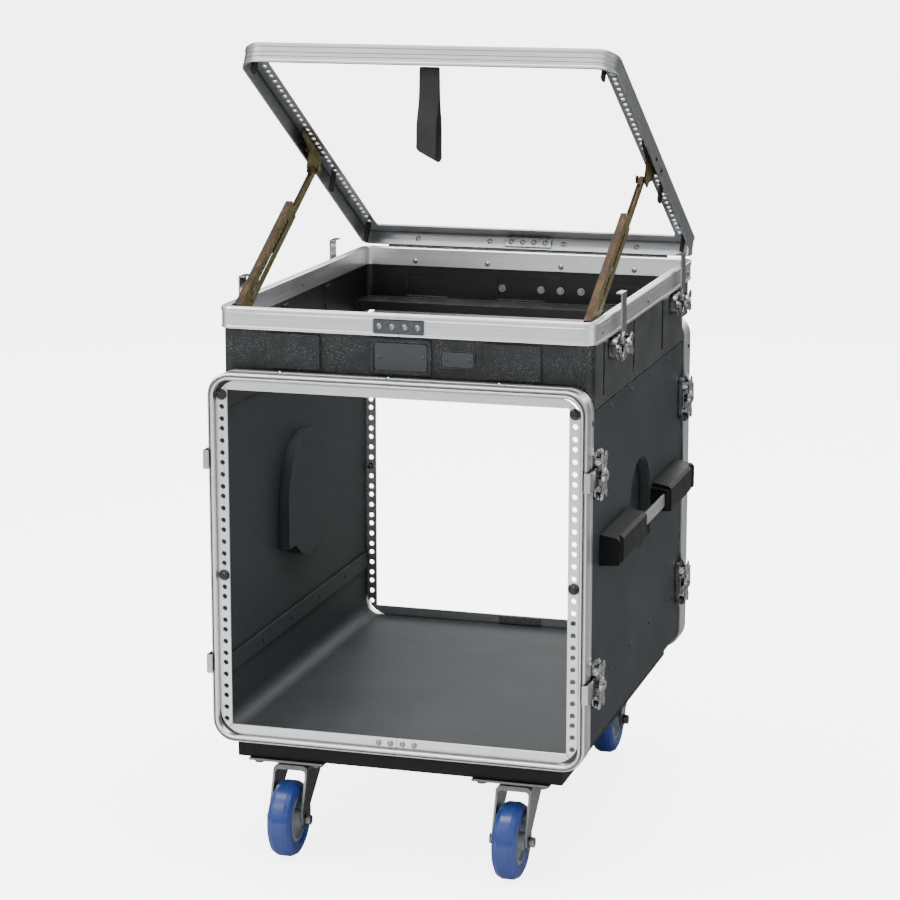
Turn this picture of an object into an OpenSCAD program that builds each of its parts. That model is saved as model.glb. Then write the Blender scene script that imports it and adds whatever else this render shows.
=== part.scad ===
// Roto-moulded pop-up rack case on casters: a ten unit bay that is open at the
// front and the rear, and a tilting top frame with rack holes for a mixer.
// Millimetres. X points right, Y points to the rear, Z points up, floor at Z = 0.

/* [Rack bay] */
// Rack units of the front and rear bay
bay_units = 10; // [9:1:10]
// Distance from the front rack plane to the rear rack plane
rack_depth = 617; // [605:1:630]
// Distance between the two columns of rack holes
hole_span = 465.1; // [464.5:0.1:465.9]
// Diameter of a rack hole
rack_hole_d = 7; // [6.5:0.1:7.2]
// Thickness of a rack flange
flange_t = 2.5; // [2:0.1:3]

/* [Case] */
// Width over the aluminium frames
case_w = 500; // [499:0.5:502]
// Wall thickness of the mouldings
wall = 4; // [3.6:0.1:4.4]
// Height of the underside of the aluminium frames above the floor
frame_bottom = 153; // [152:0.1:155]
// Bend radius of the frame corners
corner_r = 30; // [29:0.5:31]

/* [Top frame] */
// Length of the rim and of the pop-up frame, front to rear
rim_l = 600; // [598:1:602]
// Height of the rim and of the pop-up frame
band_h = 28; // [28:0.5:30]
// Rack units of the pop-up frame
popup_units = 12; // [8:1:12]
// Angle at which the pop-up frame stands open
tilt = 30.5; // [29:0.5:31]

/* [Casters] */
// Wheel diameter
wheel_d = 100; // [98:0.5:101]
// Wheel width
wheel_w = 32; // [30:0.5:33]
// Distance of each swivel axis from the middle plane
swivel_x = 151.5; // [145:0.5:155]
// Distance of the axle ahead of the swivel axis
trail = 35; // [32:0.5:37]
// Thickness of the caster board
board_t = 21; // [20:0.5:21]

/* [Fittings] */
// Span of a latch wing plate
wing_l = 60; // [56:1:62]
// Overall length of a side handle
handle_l = 472; // [460:1:476]
// Shank diameter of the rivets
rivet_d = 4; // [3.6:0.1:4.4]

/* [Hidden] */

$fn = 48;
big = 2000;

// Rack bay
unit = 44.45;              // height of one rack unit
unit_holes = [6.35, 22.225, 38.1];
flange_w = 25;             // outer frame edge to the edge of the opening
bay_open_h = bay_units * unit + 1;
frame_h = bay_open_h + 2 * 22.25;
bay_z = frame_bottom + frame_h / 2;
open_half = case_w / 2 - flange_w;
frame_top = frame_bottom + frame_h;

// Lengthwise layout: the overall depth runs from the front wheels to the back
// edge of the open pop-up frame
bead_out = 9;              // how far the bead stands out from the rack plane
rim_back = 35;             // front rack plane to the front of the rim
hinge_back = 2.8;          // rim to hinge axis
knuckle_r = 2.5;
caster_in = 45;            // front rack plane to the front swivel axes
ahead = trail + wheel_d / 2 - caster_in;
open_back = (band_h - 1.3) * sin(tilt) - hinge_back * cos(tilt);
total_l = ahead + rim_back + rim_l + hinge_back + open_back;
front_y = ahead - total_l / 2;
rear_y = front_y + rack_depth;
rim_front = front_y + rim_back;
rim_rear = rim_front + rim_l;
wrap = 28;                 // how far a frame wraps back over the moulding
butt_gap = 0.5;            // open line where the ends of a bent profile meet

// Mouldings
shell_in = 4.5;            // outer frame edge to the outer face of a moulding
shell_half = case_w / 2 - shell_in;
shell_r = corner_r - shell_in;
shell_front = front_y + flange_t + 0.5;
shell_rear = rear_y - flange_t - 0.5;
seam_z = frame_top - 34;
tray_z = frame_bottom + 88;
lap = 18;                  // overlap of two mouldings at a riveted seam
lap_t = 3.8;
rim_r = 18;                // bend radius of the rim's corners
rim_z = frame_top + 50.5;
rim_top = rim_z + band_h;
turret_top = rim_top - 6.5;
turret_r = rim_r - shell_in;
turret_front = rim_front + shell_in;
turret_rear = rim_rear - shell_in;
step_y = rear_y - wrap - 12;
step_z = frame_top + 1;

// Riveted seams
joint_drop = 6.8;          // opening edge to the rivets of a butt joint
rivet_pitch = 117;
rim_joint_x = -6.5;
rim_plate_z = rim_z + 12.4;
popup_joint_x = 3.5;
rim_rivet_xs = [for (i = [-1.5:1.5]) rim_joint_x + i * 16.9];
upper_rivet_ys = [for (i = [0:5]) front_y + 22 + i * rivet_pitch];
lower_rivet_ys = [for (i = [1:4]) front_y + 38 + i * rivet_pitch];
seam_rivet_z = seam_z - 10;
tray_rivet_z = tray_z + 5;

// Rear hinge and pop-up frame, laid out closed and then tilted open
hinge_y = rim_rear + hinge_back;
popup_z = rim_top + 1;
hinge_z = rim_top + 0.5;
popup_mid = (rim_front + rim_rear) / 2;
leaf_l = 420;
knuckle_n = 21;
leaf_rivet_xs = [-165, -55, 56, 165];

// Stays: lower pivot on the case, upper pivot under the pop-up frame
stay_x = 231.5;
foot_y = front_y + 78;
foot_z = rim_top - 15.5;
lift_s = 304;              // hinge axis to upper pivot along the pop-up frame
lift_t = -16.8;            // upper pivot above the underside of the pop-up frame
lift_closed = [hinge_y - lift_s - hinge_back, popup_z + lift_t];
lift_y = hinge_y + (lift_closed[0] - hinge_y) * cos(tilt) + (lift_closed[1] - hinge_z) * sin(tilt);
lift_z = hinge_z - (lift_closed[0] - hinge_y) * sin(tilt) + (lift_closed[1] - hinge_z) * cos(tilt);
stay_angle = atan2(lift_z - foot_z, lift_y - foot_y);
stay_l = norm([lift_y - foot_y, lift_z - foot_z]);
channel_l = 222;
channel_w = 9.6;
channel_low = 5.5;         // pivot line to the open edge of the channel
channel_high = 21;         // pivot line to the outside of the channel's web
channel_t = 1.2;
tooth = 11;                // pitch of the teeth along the slot
arm_l = 190;
arm_w = 6.4;
arm_h = 9.5;
pivot_d = 6;
lift_bolts = [-6, 31];     // bolts of an upper bracket, behind its pivot

// Casters
board_top = frame_bottom - 0.5;
board_bottom = board_top - board_t;
board_half = 219;
board_front = front_y + 5;
board_rear = rear_y + 5;
swivel_front = front_y + caster_in;
swivel_rear = rear_y - 32;
plate_t = 3;
plate_half = [51, 46];
plate_bolts = [40, 34];
race_r = 26;
race_h = 9;
crown_top = board_bottom - plate_t - race_h;
leg_in = wheel_w / 2 + 4.5;
leg_t = 3;
axle_d = 8;

// Latches: every one is drawn on the right side and mirrored to the left
latch_in = 43;             // frame latch centre behind its rack plane
latch_zs = [frame_bottom + 105, frame_bottom + 377];
top_latch_z = rim_z - 18;
top_latch_ys = [front_y + 150, front_y + 520];
top_stand = 4;             // rim latches stand further out, clear of the rim
base_x = case_w / 2 + 1;
base_l = 68;
base_w = 28;
hook_w = 25;
frame_reach = latch_in + bead_out + 2.3;
top_reach = 70;            // latch centre to the tip of a rim hook
post_r = 5;
post_h = 7.6;
wing_x = base_x + post_h + 0.6;

// Handles
handle_y = front_y + 320;
handle_z = frame_bottom + 269;
housing_l = 158;
housing_x = shell_half + 0.2;
housing_out = 26.5;
strap_t = 3;
strap_h = 17;
strap_x = housing_x + 17;
pocket_r = 60;
boss_r = 88;               // the moulded swelling around the finger pocket, inside
pocket_depth = 15.5;
pocket_top = frame_bottom + 339;
pocket_bottom = frame_bottom + 226;

// ---- shared shapes ----

// A rounded rectangle centred on the origin
module rounded(w, h, r) {
  square([w - 2 * r, h], center = true);
  square([w, h - 2 * r], center = true);
  for (x = [-1, 1], y = [-1, 1])
    translate([x * (w / 2 - r), y * (h / 2 - r)]) circle(r);
}

// A closed band with bent corners, of radius r at the front and rb at the back:
// each profile point is [inset from the outside, height]
module band(w, l, r, rb, profile) {
  for (s = [-1, 1]) {
    c = s < 0 ? r : rb;
    mirror([0, s < 0 ? 1 : 0, 0]) rotate([90, 0, 90])
      linear_extrude(w - 2 * c, center = true)
        polygon([for (p = profile) [l / 2 - p[0], p[1]]]);
    mirror([s < 0 ? 1 : 0, 0, 0]) translate([0, (r - rb) / 2, 0]) rotate([90, 0, 0])
      linear_extrude(l - r - rb, center = true)
        polygon([for (p = profile) [w / 2 - p[0], p[1]]]);
    for (x = [0, 1])
      mirror([x, 0, 0]) mirror([0, s < 0 ? 1 : 0, 0])
        translate([w / 2 - c, l / 2 - c, 0])
          rotate_extrude(angle = 90) polygon([for (p = profile) [c - p[0], p[1]]]);
  }
}

// Heights of the rack holes of a bay of n units that is centred on zero
function rack_rows(n) =
  [for (u = [0:n - 1], h = unit_holes) (u - n / 2) * unit + h];

// A domed rivet along +X: its head sits on x = 0 and its shank points inward
module rivet(shank, d = rivet_d) {
  rotate([0, -90, 0]) translate([0, 0, -0.01]) cylinder(d = d, h = shank);
  rotate([0, 90, 0]) cylinder(r1 = d, r2 = d * 0.45, h = d * 0.45);
}

// Places its children on the right side and mirrored on the left
module both_sides() {
  children();
  mirror([1, 0, 0]) children();
}

// Turns closed pop-up geometry to the open rest angle
module opened() {
  translate([0, hinge_y, hinge_z]) rotate([-tilt, 0, 0])
    translate([0, -hinge_y, -hinge_z]) children();
}

// Places a part drawn along +Y from the lower stay pivot on the open stay line
module along_stay(side) {
  translate([side * stay_x, foot_y, foot_z]) rotate([stay_angle, 0, 0]) children();
}

// ---- mouldings ----

// The square sleeve of the bay, between two heights
module sleeve(z0, z1) {
  intersection() {
    difference() {
      sleeve_core(shell_half, shell_r, 0);
      sleeve_core(shell_half - wall, shell_r - wall, 5);
    }
    translate([-big / 2, -big / 2, z0]) cube([big, big, z1 - z0]);
  }
}

module sleeve_core(half, r, extra) {
  half_h = frame_h / 2 - case_w / 2 + half;
  translate([0, shell_rear + extra, bay_z]) rotate([90, 0, 0])
    linear_extrude(shell_rear - shell_front + 2 * extra)
      rounded(2 * half, 2 * half_h, r);
}

// A rounded upright box from the turret's plan
module turret_core(inset, z0, z1) {
  translate([0, (turret_front + turret_rear) / 2, z0])
    linear_extrude(z1 - z0)
      rounded(2 * (shell_half - inset), turret_rear - turret_front - 2 * inset,
              turret_r - inset);
}

// Grooves pressed into the turret's side walls, with a rib behind each
groove_ys = [97, 268, 446];
groove_w = 9;
groove_z = seam_z + 14;
groove_h = 66;

module side_groove(y) translate([shell_half - 2.8, y, groove_z]) {
  translate([0, -groove_w / 2, 0]) cube([6, groove_w, groove_h]);
  rotate([0, 90, 0]) cylinder(d = groove_w, h = 6);
}

module groove_rib(y)
  translate([shell_half - wall - 2, y - groove_w, groove_z - groove_w])
    cube([2.2, 2 * groove_w, groove_h + groove_w]);

// Mirrors its children to the rear wall of the turret
module both_ends() for (s = [0, 1])
  translate([0, popup_mid, 0]) mirror([0, s, 0]) translate([0, -popup_mid, 0]) children();

// A block with rounded corners on the turret's front wall: it spans the depths
// d0 to d1, counted outwards from the wall's outer face
module wall_pad(x, w, h, d0, d1)
  translate([x, turret_front - d0, pad_z]) rotate([90, 0, 0])
    linear_extrude(d1 - d0) rounded(w, h, 3);

pad_z = frame_top + 24;
pad_h = 45;
pad_out = 3;
hollow = 2;                // depth of the hollow behind a pad
blank_pads = [[-147.5, 70.7], [141.8, 73.5]];  // [centre, width]
badges = [[-4, 68.7, 35], [70.6, 41, 18.5]];   // [centre, width, height]
badge_screw_in = 5;                            // plate end to its screws

module raised_pads() {
  for (p = blank_pads) wall_pad(p[0], p[1], pad_h, -1, pad_out);
  difference() {
    wall_pad(badges[0][0], 80, pad_h, -1, pad_out);
    wall_pad(badges[0][0], 71.5, 37.5, pad_out - 1.6, pad_out + 1);
  }
  difference() {
    wall_pad(badges[1][0], 46, 23.5, -1, 1.6);
    wall_pad(badges[1][0], 42.5, 20, 0.4, 3);
  }
}

// Hollows behind the pads, and the holes of the badge screws
module pad_hollows() {
  for (p = [blank_pads[0], blank_pads[1], [badges[0][0], 80]])
    translate([p[0] - p[1] / 2 + 4, turret_front + wall - hollow, pad_z - pad_h / 2 + 6])
      cube([p[1] - 8, 4, pad_h - 11]);
  for (b = badges, s = [-1, 1])
    translate([b[0] + s * (b[1] / 2 - badge_screw_in), turret_front - 5, pad_z])
      rotate([-90, 0, 0]) cylinder(d = 3.4, h = 12);
}

module upper_shell() color("#2b2e30") {
  ledge_z = step_z + wall;
  sill = 1.2;              // the open line above the seam
  difference() {
    union() {
      difference() {
        union() {
          intersection() {
            sleeve_core(shell_half, shell_r, 0);
            translate([-big / 2, -big / 2, seam_z + sill]) cube([big, big, frame_h]);
          }
          difference() {
            turret_core(0, seam_z + sill, turret_top);
            translate([-big / 2, step_y + wall, 0]) cube([big, big, step_z]);
          }
        }
        intersection() {
          sleeve_core(shell_half - wall, shell_r - wall, 5);
          translate([-big / 2, -big / 2, 0]) cube([big, big, frame_top]);
        }
        difference() {
          turret_core(wall, seam_z - 5, turret_top + 5);
          translate([-big / 2, step_y, 0]) cube([big, big, ledge_z]);
        }
      }
      both_sides() translate([shell_half - wall - lap_t - 0.2, shell_front + 8, seam_z - lap]) {
        cube([lap_t, step_y - shell_front - 12, lap + 6]);
        translate([0, 0, lap + sill]) cube([lap_t + 2, step_y - shell_front - 12, 6 - sill]);
      }
      both_ends() raised_pads();
      both_sides() for (y = groove_ys) groove_rib(front_y + y);
    }
    both_ends() pad_hollows();
    both_sides() for (y = groove_ys) side_groove(front_y + y);
  }
}

// Outline of the finger pocket, drawn in the side wall's plane
module pocket(r, top_z, floor_z) {
  translate([handle_y, top_z - r]) circle(r);
  translate([handle_y - r, floor_z]) square([2 * r, top_z - r - floor_z]);
}

module side_panels() color("#34373a") both_sides() difference() {
  union() {
    intersection() {
      sleeve(tray_z + 0.2, seam_z - 0.8);
      translate([0, -big / 2, 0]) cube([big, big, big]);
    }
    translate([shell_half - wall - pocket_depth, 0, 0]) rotate([90, 0, 90])
      linear_extrude(pocket_depth + 1) pocket(boss_r, pocket_top + 13, pocket_bottom - 25);
  }
  translate([shell_half - pocket_depth, 0, 0]) rotate([90, 0, 90])
    linear_extrude(pocket_depth + 5) pocket(pocket_r, pocket_top, pocket_bottom);
  translate([shell_half - 1.5, 0, 0]) rotate([90, 0, 90])
    linear_extrude(5) pocket(pocket_r + 3, pocket_top + 3, pocket_bottom - 3);
}

module bottom_tray() color("#2b2e30") {
  runner_h = frame_bottom + shell_in - board_top - 0.2;
  sleeve(0, tray_z - 0.2);
  both_sides() {
    translate([shell_half - wall - lap_t - 0.2, shell_front + 8, tray_z - 6]) {
      cube([lap_t, shell_rear - shell_front - 16, lap + 6]);
      cube([lap_t + 2, shell_rear - shell_front - 16, 5.8]);
    }
    for (x = [70, 190])
      translate([x - 12, front_y + wrap + 6, board_top + 0.2])
        cube([24, rack_depth - 2 * wrap - 12, runner_h + 1]);
  }
}

module caster_board() color("#1d1f20") {
  difference() {
    translate([-board_half, board_front, board_bottom])
      cube([2 * board_half, board_rear - board_front, board_t]);
    for (x = [-1, 1], y = [swivel_front, swivel_rear], p = [-1, 1], q = [-1, 1])
      translate([x * swivel_x + p * plate_bolts[0], y + q * plate_bolts[1], 0])
        cylinder(d = 8.4, h = big);
  }
}

// ---- aluminium frames ----

// Bead, groove and wrap of a bay frame: [inset from outside, out of the rack plane]
bay_profile = [
  [shell_in - 0.2, -wrap], [1, -wrap], [0.3, 1 - wrap], [0.3, -17], [0.9, -16.4],
  [0.9, -15.6], [0.3, -15], [0.3, -5], [0, -4], [0, 4], [0.8, 6], [2.4, 6.6], [3, 5],
  [4.2, 5], [4.8, 7], [5.6, bead_out], [7.4, bead_out], [8.7, 7.6], [8.7, -flange_t],
  [2.4, -flange_t], [2.4, 3 - wrap], [shell_in - 0.2, 3 - wrap]
];

// A bay frame around the Y axis: its rack plane is y = 0 and it faces -Y
module bay_frame() {
  flange_half = [case_w / 2 - 8.7, frame_h / 2 - 8.7];
  mitre = norm([30, 30]);
  difference() {
    rotate([90, 0, 0]) {
      band(case_w, frame_h, corner_r, corner_r, bay_profile);
      translate([0, 0, -flange_t]) linear_extrude(flange_t) difference() {
        rounded(2 * flange_half[0] + 0.2, 2 * flange_half[1] + 0.2, 36);
        square([2 * open_half, bay_open_h], center = true);
      }
    }
    for (x = [-1, 1], z = [-1, 1])
      translate([x * open_half, 0, z * bay_open_h / 2])
        rotate([0, -x * z * 45 + (x < 0 ? 180 : 0), 0])
          translate([-1, -1, -0.4]) cube([mitre / 2 + 3, 1.6, 0.8]);
    for (x = [-1, 1], z = rack_rows(bay_units))
      translate([x * hole_span / 2, 5, z]) rotate([90, 0, 0])
        cylinder(d = rack_hole_d, h = 10);
    for (x = [-1.5, -0.5, 0.5, 1.5])
      translate([x * 16, 5, -bay_open_h / 2 - joint_drop]) rotate([90, 0, 0])
        cylinder(d = rivet_d + 0.2, h = 10);
    translate([-butt_gap / 2, -bead_out - 1, -frame_h / 2 - 1])
      cube([butt_gap, bead_out + wrap + 2, flange_w + 2]);
  }
}

module front_frame() color("#d9dcdd") translate([0, front_y, bay_z]) bay_frame();

module rear_frame() color("#d9dcdd")
  translate([0, rear_y, bay_z]) mirror([0, 1, 0]) bay_frame();

// Hollow rim clamp: it straddles the turret's wall
rim_profile = [
  [shell_in - 0.3, 0], [0.9, 0], [0.4, 1], [0.4, 3], [1, 4], [1, band_h - 7.5],
  [0, band_h - 6], [0, band_h - 2], [1.2, band_h], [4, band_h], [4.8, band_h - 1],
  [6.4, band_h - 1], [7.2, band_h], [10, band_h], [10.9, band_h - 1], [10.9, 2],
  [shell_in + wall + 0.3, 2], [shell_in + wall + 0.3, band_h - 6],
  [shell_in - 0.3, band_h - 6]
];

module rim_frame() color("#d9dcdd") difference() {
  translate([0, popup_mid, rim_z]) band(case_w, rim_l, rim_r, rim_r, rim_profile);
  translate([rim_joint_x, rim_front - 1, rim_z - 1]) cube([butt_gap, 15, band_h + 2]);
}

// Pop-up band; its inward rack flange is a separate plate
flange_z = band_h - 8;
popup_back_r = 12;
popup_profile = [
  [0.5, 0], [3, 0], [3, flange_z], [8.5, flange_z], [8.5, band_h - 3], [7.4, band_h],
  [1.6, band_h], [0, band_h - 1.8], [0, band_h - 5.5], [1, band_h - 6.5], [1, 15],
  [1.6, 14.5], [1, 14], [1, 9], [1.6, 8.5], [1, 8], [1, 4], [0.5, 3]
];

module popup_frame() color("#cfd2d4") opened() difference() {
  translate([0, popup_mid, popup_z]) {
    band(case_w, rim_l, corner_r - 2, popup_back_r, popup_profile);
    translate([0, 0, flange_z]) linear_extrude(flange_t) difference() {
      rounded(case_w - 11, rim_l - 11, 12);
      rounded(2 * open_half, rim_l - 2 * flange_w, 4);
    }
  }
  for (x = [-1, 1], y = rack_rows(popup_units))
    translate([x * hole_span / 2, popup_mid + y, popup_z + band_h - 12])
      cylinder(d = rack_hole_d, h = 10);
  for (x = [-1, 1], s = lift_bolts)
    translate([x * (case_w / 2 - 5), lift_closed[0] + s, popup_z + 11])
      rotate([0, x * 90, 0]) cylinder(d = 5.4, h = 10);
  translate([popup_joint_x, rim_rear - flange_w - 1, popup_z - 1])
    cube([butt_gap, flange_w + 2, band_h + 2]);
}

// A butt-joint plate with four rivets, lying in the XZ plane behind y = 0
module joint_plate(w = 62, h = 12) {
  translate([-w / 2, 0.1, -h / 2]) cube([w, 1.6, h]);
}

module joint_plates() color("#8f9396") {
  translate([0, front_y + flange_t, bay_z - bay_open_h / 2 - joint_drop]) joint_plate();
  translate([0, rear_y - flange_t, bay_z - bay_open_h / 2 - joint_drop])
    mirror([0, 1, 0]) joint_plate();
  translate([rim_joint_x, rim_front + 0.8, rim_plate_z]) mirror([0, 1, 0])
    joint_plate(66, 16.4);
}

// Rivet heads stand on the outer faces; their shanks pass through the joint
module rivets() color("#3a3c3e") {
  both_sides() {
    for (y = lower_rivet_ys) translate([shell_half, y, tray_rivet_z])
      rivet(wall + lap_t + 1.6);
    for (i = [1:4]) translate([shell_half, upper_rivet_ys[i], seam_rivet_z])
      rivet(wall + lap_t + 1.6);
    for (y = [upper_rivet_ys[0], upper_rivet_ys[5]])
      translate([case_w / 2 - 0.3, y, seam_rivet_z]) rivet(8);
    for (y = [38, 300, 562]) translate([case_w / 2 - 1, rim_front + y, rim_z + 12]) rivet(10);
  }
  for (x = [-1.5, -0.5, 0.5, 1.5]) {
    translate([x * 16, front_y, bay_z - bay_open_h / 2 - joint_drop])
      rotate([0, 0, -90]) rivet(flange_t + 1.7);
    translate([x * 16, rear_y, bay_z - bay_open_h / 2 - joint_drop])
      rotate([0, 0, 90]) rivet(flange_t + 1.7);
  }
  for (x = rim_rivet_xs)
    translate([x, rim_front - 0.9, rim_plate_z]) rotate([0, 0, -90]) rivet(4);
  for (x = leaf_rivet_xs)
    translate([x, rim_rear - 10.9, rim_z + 9]) rotate([0, 0, -90]) rivet(12.4);
  for (x = [-160, -15, 130])
    translate([x, front_y + 20, frame_top - 0.3]) rotate([0, -90, 0]) rivet(6);
}

// Screw with a dished washer, driven along +Y through a rack hole
module rack_screw() {
  translate([0, -0.05, 0]) rotate([90, 0, 0]) difference() {
    cylinder(r1 = 7.4, r2 = 6.2, h = 2.6);
    translate([0, 0, -1]) cylinder(d = 6.2, h = 5);
  }
  translate([0, -2.7, 0]) rotate([90, 0, 0]) difference() {
    cylinder(r1 = 5.4, r2 = 3.4, h = 2.6);
    translate([0, 0, 1.4]) cylinder(d = 3, h = 2);
  }
  translate([0, 14, 0]) rotate([90, 0, 0]) cylinder(d = 5.8, h = 16.8);
}

module rack_screws() color("#17191a") {
  rows = rack_rows(bay_units);
  top = len(rows) - 1;
  for (s = [[-1, top], [-1, top - 16], [1, top], [1, top - 15]])
    translate([s[0] * hole_span / 2, front_y, bay_z + rows[s[1]]]) rack_screw();
  translate([-hole_span / 2, rear_y, bay_z + rows[top - 15]])
    mirror([0, 1, 0]) rack_screw();
}

// Plain plates on the raised pads, each held by two screws through the wall
module badge_plates() color("#4a4d50") both_ends() for (b = badges) {
  main = b[0] == badges[0][0];
  seat = main ? pad_out - 1.5 : 0.5;
  inside = seat + wall - (main ? hollow : 0) + 0.1;
  wall_pad(b[0], b[1], b[2], seat, seat + 1.1);
  for (s = [-1, 1]) translate([b[0] + s * (b[1] / 2 - badge_screw_in), turret_front - seat, pad_z])
    rotate([-90, 0, 0]) {
      translate([0, 0, -2.6]) cylinder(d1 = 3, d2 = 5, h = 1.6);
      translate([0, 0, -1.2]) cylinder(d = 3, h = inside + 2);
      translate([0, 0, inside]) cylinder(d = 11, h = 1);
      translate([0, 0, inside + 0.9]) cylinder(d = 5, h = 1.4);
    }
}

// ---- stays ----

// Inverted U section with toothed slots; it turns on the lower pivot
module stay_channel(side) color("#b39b55") along_stay(side) difference() {
  union() {
    translate([-channel_w / 2, -8, -channel_low])
      cube([channel_w, channel_l + 8, channel_low + channel_high]);
    rotate([0, 90, 0]) cylinder(r = 9, h = channel_w, center = true);
  }
  translate([-channel_w / 2 + channel_t, -20, -channel_low - 5])
    cube([channel_w - 2 * channel_t, channel_l + 40, channel_low + 5 + channel_high - channel_t]);
  rotate([0, 90, 0]) cylinder(d = pivot_d + 0.4, h = 40, center = true);
  for (i = [0:11])
    translate([0, 62 + i * tooth, 6]) rotate([90, 0, 90]) linear_extrude(40, center = true)
      polygon([[0, 0], [tooth + 0.01, 0], [tooth + 0.01, 8], [tooth * 0.6, 4], [0, 3.6]]);
  translate([0, 30, 8]) rotate([90, 0, 90])
    linear_extrude(40, center = true) polygon([[0, -1.6], [24, -1.6], [24, 1.6], [0, 1.6]]);
}

module stay_channel_left() stay_channel(-1);
module stay_channel_right() stay_channel(1);

// Inner arm of a stay; it hangs from the upper pivot and runs in the channel
module stay_arm(side) color("#a98d4e") along_stay(side) translate([0, stay_l, 0]) difference() {
  union() {
    translate([-arm_w / 2, -arm_l, -arm_h / 2]) cube([arm_w, arm_l, arm_h]);
    rotate([0, 90, 0]) cylinder(d = arm_h, h = arm_w, center = true);
  }
  translate([-1.6, -arm_l + 12, arm_h / 2 - 2]) cube([3.2, arm_l - 30, 5]);
  rotate([0, 90, 0]) cylinder(d = pivot_d + 0.4, h = 40, center = true);
}

module stay_arm_left() stay_arm(-1);
module stay_arm_right() stay_arm(1);

// Lower pivot plates and their pins; the plates lie against the rim's inside
module stay_feet() color("#b39b55") both_sides() {
  foot_in = stay_x + channel_w / 2 + 0.7;
  translate([foot_in, foot_y, foot_z]) {
    translate([0, -16, -18]) cube([1.9, 34, 30]);
    translate([-channel_w - 3.7, 0, 0]) rotate([0, 90, 0]) cylinder(d = pivot_d, h = channel_w + 4);
    translate([-channel_w - 4.4, 0, 0]) rotate([0, 90, 0]) cylinder(d = pivot_d + 5, h = 2.6);
  }
}

// Upper pivot brackets, their pins and two bolts through the band
module stay_brackets() color("#b39b55") opened() both_sides() {
  plate_x = stay_x + arm_w / 2 + 2.2;
  y = lift_closed[0];
  z = lift_closed[1];
  top_z = popup_z + flange_z - 0.6;
  rotate([90, 0, 90]) translate([0, 0, plate_x]) linear_extrude(2)
    polygon([[y - 8, z - 8], [y + 8, z - 8], [y + 14, z + 2], [y + 39, top_z - 18],
             [y + 39, top_z], [y - 52, top_z], [y - 52, top_z - 8], [y - 14, top_z - 14],
             [y - 12, z + 2]]);
  translate([plate_x - 12, y, z]) rotate([0, 90, 0]) cylinder(d = pivot_d, h = 13);
  translate([plate_x - 13.4, y, z]) rotate([0, 90, 0]) cylinder(d = pivot_d + 5, h = 2.6);
  for (s = lift_bolts) translate([plate_x + 1.9, y + s, popup_z + 11]) rotate([0, 90, 0]) {
    cylinder(d = 5, h = case_w / 2 - plate_x - 1.9 + 0.8);
    cylinder(d = 10, h = case_w / 2 - 3.1 - plate_x - 1.9);
  }
}

// ---- rear hinge ----

// Knuckles of one leaf: every second place along the hinge
module knuckles(first) {
  pitch = leaf_l / knuckle_n;
  for (i = [first:2:knuckle_n - 1])
    translate([-leaf_l / 2 + i * pitch + 0.25, hinge_y, hinge_z]) rotate([0, 90, 0])
      difference() {
        cylinder(r = knuckle_r, h = pitch - 0.5);
        translate([0, 0, -1]) cylinder(d = 2.6, h = pitch + 2);
      }
}

// Feet that tie the knuckles of one leaf to its plate
module knuckle_feet(first, z0, z1) {
  pitch = leaf_l / knuckle_n;
  for (i = [first:2:knuckle_n - 1])
    translate([-leaf_l / 2 + i * pitch + 0.25, rim_rear + 0.2, z0])
      cube([pitch - 0.5, 1.2, z1 - z0]);
}

module rear_hinge_leaf() color("#8f9396") {
  leaf_h = 18;
  leaf_top = hinge_z - knuckle_r - 0.4;
  knuckles(0);
  knuckle_feet(0, leaf_top - 1, hinge_z - 0.4);
  translate([-leaf_l / 2, rim_rear + 0.2, leaf_top - leaf_h]) cube([leaf_l, 1.2, leaf_h]);
  translate([-leaf_l / 2 - 1, hinge_y, hinge_z]) rotate([0, 90, 0])
    cylinder(d = 2.2, h = leaf_l + 2);
}

module popup_hinge_leaf() color("#8f9396") opened() {
  leaf_h = 14;
  leaf_bottom = hinge_z + knuckle_r + 0.4;
  knuckles(1);
  knuckle_feet(1, hinge_z + 0.4, leaf_bottom + 1);
  translate([-leaf_l / 2, rim_rear + 0.2, leaf_bottom]) cube([leaf_l, 1.2, leaf_h]);
}

// ---- pop-up frame fittings ----

module popup_joint_plate() color("#c8cbcd") opened()
  translate([popup_joint_x, rim_rear - 3.2, popup_z + 10]) mirror([0, 1, 0])
    joint_plate(69, 14);

module popup_rivets() color("#3a3c3e") opened() {
  for (x = leaf_rivet_xs)
    translate([x, rim_rear - 3, popup_z + 10]) rotate([0, 0, -90]) rivet(4.3);
  for (x = [-1.5, -0.5, 0.5, 1.5])
    translate([popup_joint_x + x * 17, rim_rear - 5, popup_z + 10])
      rotate([0, 0, -90]) rivet(4);
}

// Guide blocks under the rack flanges; closed, they sit just inside the rim
module popup_pads() color("#141516") opened() both_sides() {
  block_h = flange_z + 6.8;
  for (p = [[20.2, 585], [15.2, 212], [15.2, 30.5]])
    translate([case_w / 2 - p[0], hinge_y - p[1] - 6, popup_z - 7]) cube([3.8, 12, block_h]);
}

// Webbing loop that hangs from the front of the pop-up frame
module pull_strap() color("#101112") {
  strap_w = 27;
  strap_x = 4;
  strap_len = 118;
  hang = [hinge_y - (rim_l - 16) * cos(tilt), hinge_z + (rim_l - 16) * sin(tilt) + 6];
  translate([strap_x - strap_w / 2, hang[0], hang[1] - strap_len])
    cube([strap_w, 9, strap_len]);
}

// ---- casters ----

// Places its children at a caster's swivel axis
module at_caster(x, y) {
  translate([x * swivel_x, y < 0 ? swivel_front : swivel_rear, 0]) children();
}

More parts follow.
